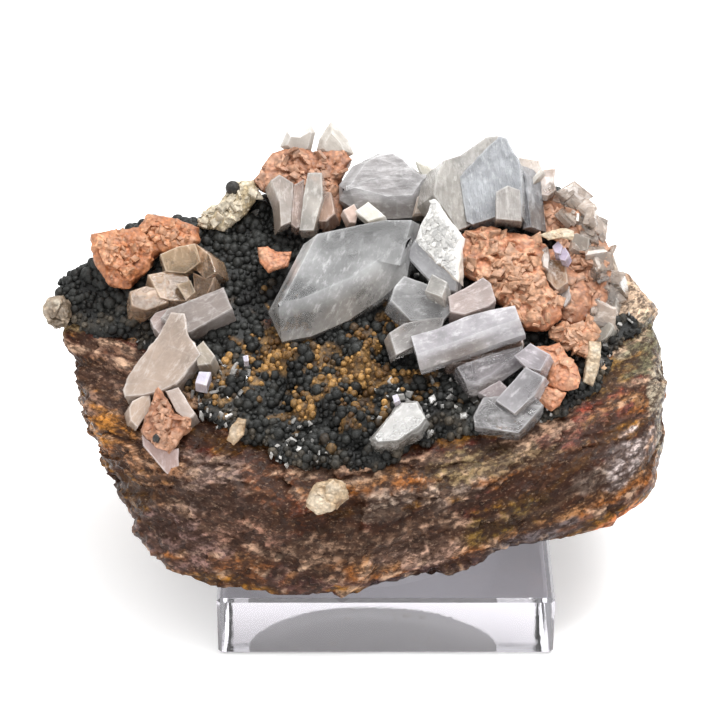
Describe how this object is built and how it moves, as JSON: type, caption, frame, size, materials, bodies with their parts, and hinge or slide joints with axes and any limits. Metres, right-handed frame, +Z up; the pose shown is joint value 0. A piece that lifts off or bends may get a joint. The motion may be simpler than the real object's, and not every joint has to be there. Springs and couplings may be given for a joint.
{
  "type": "baryte with fluorite specimen on display block",
  "caption": "Mineral specimen: bladed baryte, orange rosettes and small fluorite cubes on black botryoidal crust and banded rock, resting on a clear square block.",
  "frame": {"origin": "middle of the display block's square underside", "axes": "+Z up, the block's front edge and the viewer toward -Y, +X to the viewer's right"},
  "size_m": [0.0955, 0.0641, 0.0594],
  "materials": {
    "baryte": "translucent grey-white to bluish crystal, bevelled faces",
    "fluorite": "clear to yellowish and violet crystal",
    "orange_baryte": "orange, finely bladed, sugary",
    "cream_baryte": "cream, sugary, slightly translucent",
    "matrix": "banded brown, ochre, pink and maroon broken rock",
    "crust": "black knobbly crust, satin, partly dusted with ochre",
    "gel": "clear soft gel with small bubbles",
    "acrylic": "clear polished acrylic"
  },
  "bodies": {
    "root": {"front_blades": "baryte", "lower_blades": "baryte", "bright_plate": "baryte", "central_baryte": "baryte", "small_rhombs": "baryte", "tall_baryte": "baryte", "top_baryte": "baryte", "top_side_crystal": "baryte", "top_low_crystal": "baryte", "orange_rosette": "orange_baryte", "low_rosette": "orange_baryte", "orange_plate": "orange_baryte", "cream_lath": "cream_baryte", "pale_tablets": "baryte", "upper_rim_crystal": "baryte", "lower_rim_crystal": "baryte", "violet_fluorite": "fluorite", "crown_crystals": "baryte", "lath_group": "baryte", "lath_neighbour": "baryte", "crown_rosette": "orange_baryte", "left_cubes": "fluorite", "left_lath": "baryte", "left_baryte": "baryte", "clear_cube": "fluorite", "left_rosette": "orange_baryte", "left_low_rosette": "orange_baryte", "sugary_mass": "cream_baryte", "left_knob": "cream_baryte", "salmon_chip": "orange_baryte", "sugary_chip": "baryte", "tan_chip": "cream_baryte", "wall_chunk": "cream_baryte", "matrix_rock": "matrix", "botryoidal_crust": "crust", "gel_pad": "gel", "acrylic_block": "acrylic"}
  },
  "joints": []
}
